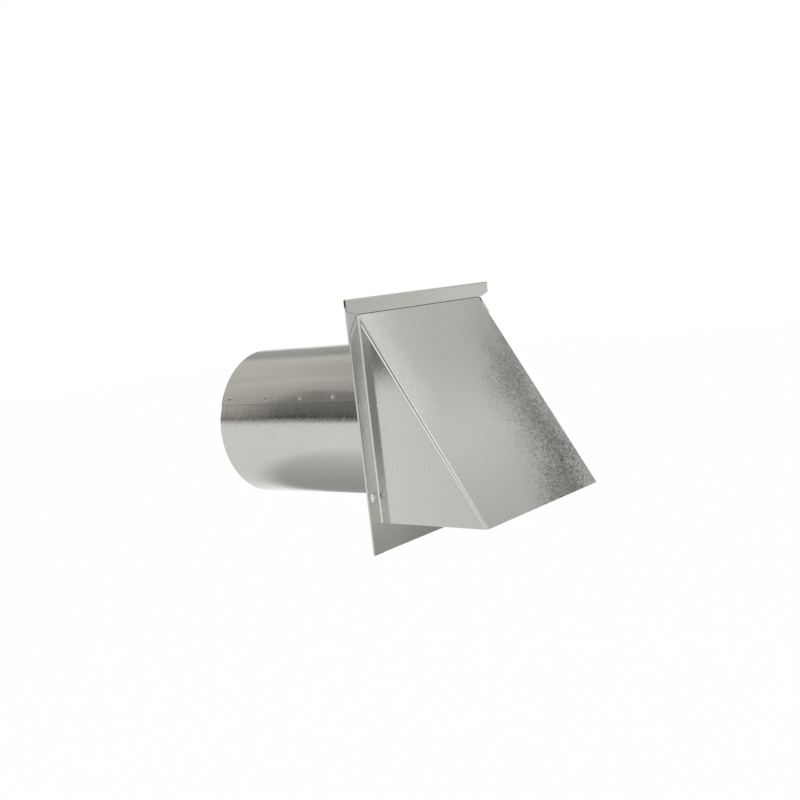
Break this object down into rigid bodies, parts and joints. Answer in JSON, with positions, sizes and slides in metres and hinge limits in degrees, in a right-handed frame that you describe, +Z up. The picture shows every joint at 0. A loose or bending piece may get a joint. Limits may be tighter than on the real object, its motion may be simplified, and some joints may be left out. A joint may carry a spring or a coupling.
{
  "type": "hooded wall vent",
  "caption": "Galvanised sheet-steel wall vent: sloping hood with an open bottom on a hemmed wall plate, round duct collar behind it and a hinged back-draft flap over the duct mouth.",
  "frame": {"origin": "on the duct axis in the wall plane, which is the back face of the wall plate", "axes": "+X to the right seen from the hood's front, +Y into the wall along the duct, +Z up"},
  "size_m": [0.1524, 0.2231, 0.1547],
  "materials": {
    "galvanised_sheet": "galvanised, fine spangle, satin",
    "damper_sheet": "galvanised, fine spangle, satin",
    "bracket_sheet": "galvanised, satin",
    "hinge_wire": "drawn steel wire",
    "rivet_steel": "zinc plated, smooth"
  },
  "bodies": {
    "vent": {"wall_plate": "galvanised_sheet", "hood": "galvanised_sheet", "duct_collar": "galvanised_sheet", "hood_rivet_left": "rivet_steel", "hood_rivet_right": "rivet_steel", "damper_rod": "hinge_wire", "hinge_bracket_left": "bracket_sheet", "hinge_bracket_right": "bracket_sheet", "bracket_rivet_left": "rivet_steel", "bracket_rivet_right": "rivet_steel"},
    "damper": {"damper_flap": "damper_sheet"}
  },
  "joints": [
    {"name": "damper_swing", "type": "hinge", "parent": "vent", "child": "damper", "pos_m": [0, -0.00402, 0.0547], "axis": [-1, 0, 0], "range_deg": [0, 33]}
  ]
}
